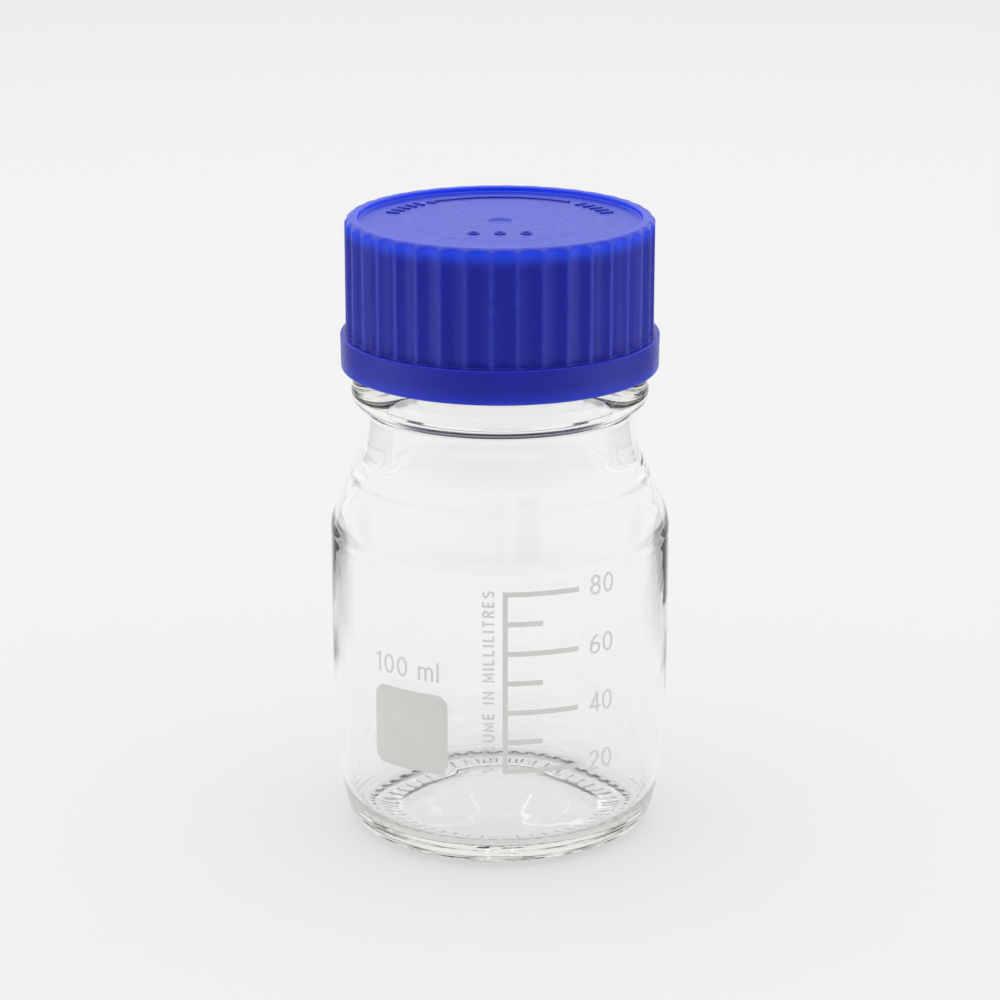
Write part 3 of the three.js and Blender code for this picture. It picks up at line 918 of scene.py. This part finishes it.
def make_relief(material):
    """A turning arrow over the back of the cap's top, and three dots before its middle."""
    sweep = arc((0, 0), MARK_RADIUS, MARK_RADIUS, 52, 128, 44)
    head = []
    for bearing, dx, dy in ((123, 1.0, 1.5), (129, 0, 0), (123, -0.6, -1.7)):
        x, y = math.cos(math.radians(bearing)), math.sin(math.radians(bearing))
        head.append((MARK_RADIUS * x + dx, MARK_RADIUS * y + dy))
    near, far = MARK_RADIUS - TICK_REACH, MARK_RADIUS + TICK_REACH
    ticks = []
    for bearing in (20, 26, 32, 38, 44):
        x, y = math.cos(math.radians(bearing)), math.sin(math.radians(bearing))
        ticks.append([(x * near, y * near), (x * far, y * far)])
    ticks += [[(-x, y) for x, y in tick] for tick in ticks]
    relief("cap_turn_arrow", [sweep, head], 0.8, material)
    relief("cap_turn_ticks", ticks, 0.7, material)
    dots = [arc((x, -9.5), 0.75, 0.75, 0, 360, 17) for x in (-4.2, 0.0, 4.2)]
    relief("cap_mould_dots", dots, 0.5, material)


def make_ring(material):
    """The pouring ring: a lip over the mouth, with one wall inside it and one outside."""
    bore = RING_BORE_RADIUS
    inner, outer = BORE_RADIUS - 0.2, COLLAR_RADIUS + 0.2
    under = GLASS_TOP + 0.2
    outline = rounded([
        (bore, RING_BOTTOM + 1), (bore, RING_BOTTOM, 0.3), (inner, RING_BOTTOM, 0.3), (inner, under, 0.3),
        (outer, under, 0.3), (outer, RING_BOTTOM, 0.3), (RING_RADIUS - 0.4, RING_BOTTOM, 0.3),
        (RING_RADIUS, RING_TOP - 0.5, 0.4), (RING_RADIUS, RING_TOP, 0.25), (19.9, RING_TOP, 0.3),
        (19.3, RING_TOP - 0.25, 0.3), (15.6, RING_TOP - 0.25, 0.5), (14.6, RING_TOP - 0.1, 0.5),
        (bore, RING_TOP - 0.7, 0.5), (bore, RING_BOTTOM + 1),
    ], 0.25)[:-1]
    radii, heights = spread(outline, SMALL_SIDES)
    ring = turned("pouring_ring_moulding", radii, heights, material, closed=True)
    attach(ring, "bottle")
    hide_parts("pouring_ring")


def make_liner(material):
    """The liner disc, with a shallow track where the pouring ring presses on it."""
    press = 0.08
    outline = rounded([
        (0, LINER_BOTTOM), (19.4, LINER_BOTTOM, 0.3), (19.8, LINER_BOTTOM + press, 0.2),
        (20.7, LINER_BOTTOM + press, 0.2), (LINER_RADIUS, LINER_BOTTOM, 0.1),
        (LINER_RADIUS, LINER_TOP, 0.15), (0, LINER_TOP),
    ], 0.5)
    radii, heights = spread(outline, SMALL_SIDES)
    liner = turned("liner_disc", radii, heights, material)
    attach(liner, "liner")
    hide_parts("cap_liner")


# ---------------------------------------------------------------- putting it together

# Glass behind glass needs many bounces.
scene = bpy.context.scene
scene.view_settings.view_transform = "Standard"
scene.cycles.max_bounces = 32
scene.cycles.transmission_bounces = 32
scene.cycles.glossy_bounces = 12
make_camera()
make_studio()
make_glass(glass_material())
make_prints(enamel_material())
make_ring(ring_material())
make_liner(liner_material())
cap_plastic = cap_material()
make_cap(cap_plastic)
make_relief(cap_plastic)
